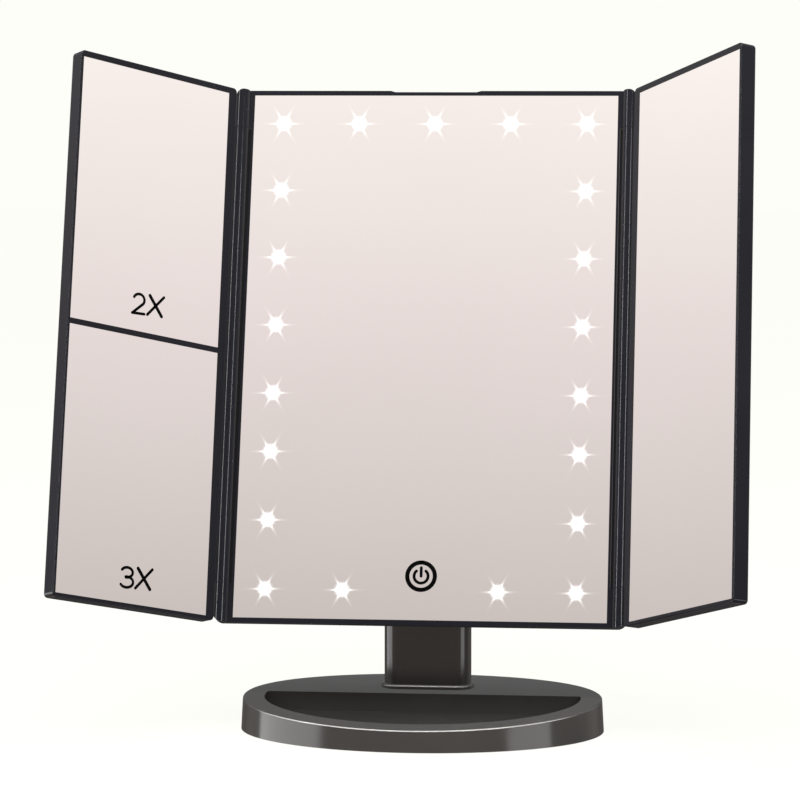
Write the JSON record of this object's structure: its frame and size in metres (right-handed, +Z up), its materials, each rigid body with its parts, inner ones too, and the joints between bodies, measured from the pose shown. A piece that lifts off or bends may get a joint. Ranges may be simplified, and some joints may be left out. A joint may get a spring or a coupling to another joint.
{
  "type": "lighted vanity mirror",
  "caption": "Table-top three-panel make-up mirror with folding magnifying wings, ringed lamps behind the centre glass, a tilting head, and an oval tray base.",
  "frame": {"origin": "middle of the base's underside, on the surface it stands on", "axes": "+X across the mirror to its right wing, -Y to the user in front, +Z up"},
  "size_m": [0.3011, 0.1573, 0.3032],
  "materials": {
    "frame_black": "polished moulded plastic, black with a faint blue cast",
    "base_gunmetal": "polished dark grey plastic",
    "inner_plastic": "plain moulded",
    "mirror_glass": "silvered flat glass",
    "lamp_window": "cleared window in the silvering, lit from behind",
    "lamp_chip": "moulded lamp package",
    "circuit_board": "solder mask over glass laminate",
    "bright_steel": "plated",
    "iron_weight": "raw",
    "foam_tape": "double-sided foam tape",
    "soft_pad": "foam sheet",
    "washer_nylon": "plain",
    "cell_wrap": "plain printed sleeve, no marks",
    "copper_pad": "bare foil",
    "wire_cover": "plain insulation"
  },
  "bodies": {
    "stand": {"base_shell": "base_gunmetal", "base_plate": "inner_plastic", "counterweight": "iron_weight", "anti_slip_pad": "soft_pad", "base_screws": "bright_steel", "stem_front": "base_gunmetal", "stem_rear": "base_gunmetal", "stem_collar": "base_gunmetal", "stem_foot_block": "inner_plastic", "stem_screws": "bright_steel", "tilt_knuckle": "base_gunmetal", "stem_shell_screws": "bright_steel"},
    "left_wing": {"left_wing_frame": "frame_black", "left_wing_back": "frame_black", "left_upper_mirror": "mirror_glass", "left_lower_mirror": "mirror_glass", "left_wing_tape": "foam_tape", "left_wing_screws": "bright_steel"},
    "right_wing": {"right_wing_frame": "frame_black", "right_wing_back": "frame_black", "right_mirror": "mirror_glass", "right_wing_tape": "foam_tape", "right_wing_screws": "bright_steel"},
    "battery_door": {"battery_door": "frame_black"},
    "power_switch": {"switch_knob": "frame_black"},
    "head": {"centre_frame": "frame_black", "rear_cover": "frame_black", "tilt_bracket": "frame_black", "battery_tray": "inner_plastic", "switch_housing": "inner_plastic", "centre_mirror": "mirror_glass", "lamp_windows": "lamp_window", "lamps": "lamp_chip", "lamp_board_top": "circuit_board", "lamp_board_bottom": "circuit_board", "lamp_board_left": "circuit_board", "lamp_board_right": "circuit_board", "control_board": "circuit_board", "bracket_screws": "bright_steel", "tilt_bolt": "bright_steel", "tilt_nut": "bright_steel", "board_screws": "bright_steel", "rear_cover_screws": "bright_steel", "left_hinge_pins": "bright_steel", "right_hinge_pins": "bright_steel", "battery_springs": "bright_steel", "battery_contacts": "bright_steel", "charging_inlet": "bright_steel", "mirror_tape": "foam_tape", "friction_washers": "washer_nylon", "battery_cells": "cell_wrap", "touch_electrode": "copper_pad", "wiring": "wire_cover"}
  },
  "joints": [
    {"name": "head_tilt", "type": "hinge", "parent": "stand", "child": "head", "pos_m": [0, 0.025, 0.07697], "axis": [-1, 0, 0], "range_deg": [-22, 70]},
    {"name": "left_wing_fold", "type": "hinge", "parent": "head", "child": "left_wing", "pos_m": [-0.0881, 0.02103, 0.16551], "axis": [0, 0.304, 0.9527], "range_deg": [-43.9, 135.8]},
    {"name": "right_wing_fold", "type": "hinge", "parent": "head", "child": "right_wing", "pos_m": [0.0881, 0.02103, 0.16551], "axis": [0, -0.304, -0.9527], "range_deg": [-54.2, 125.5]},
    {"name": "battery_door_lift", "type": "hinge", "parent": "head", "child": "battery_door", "pos_m": [0, 0.02637, 0.12295], "axis": [-1, 0, 0], "range_deg": [0, 110]},
    {"name": "power_switch_slide", "type": "slide", "parent": "head", "child": "power_switch", "axis": [-1, 0, 0], "range_m": [0, 0.0024]}
  ]
}
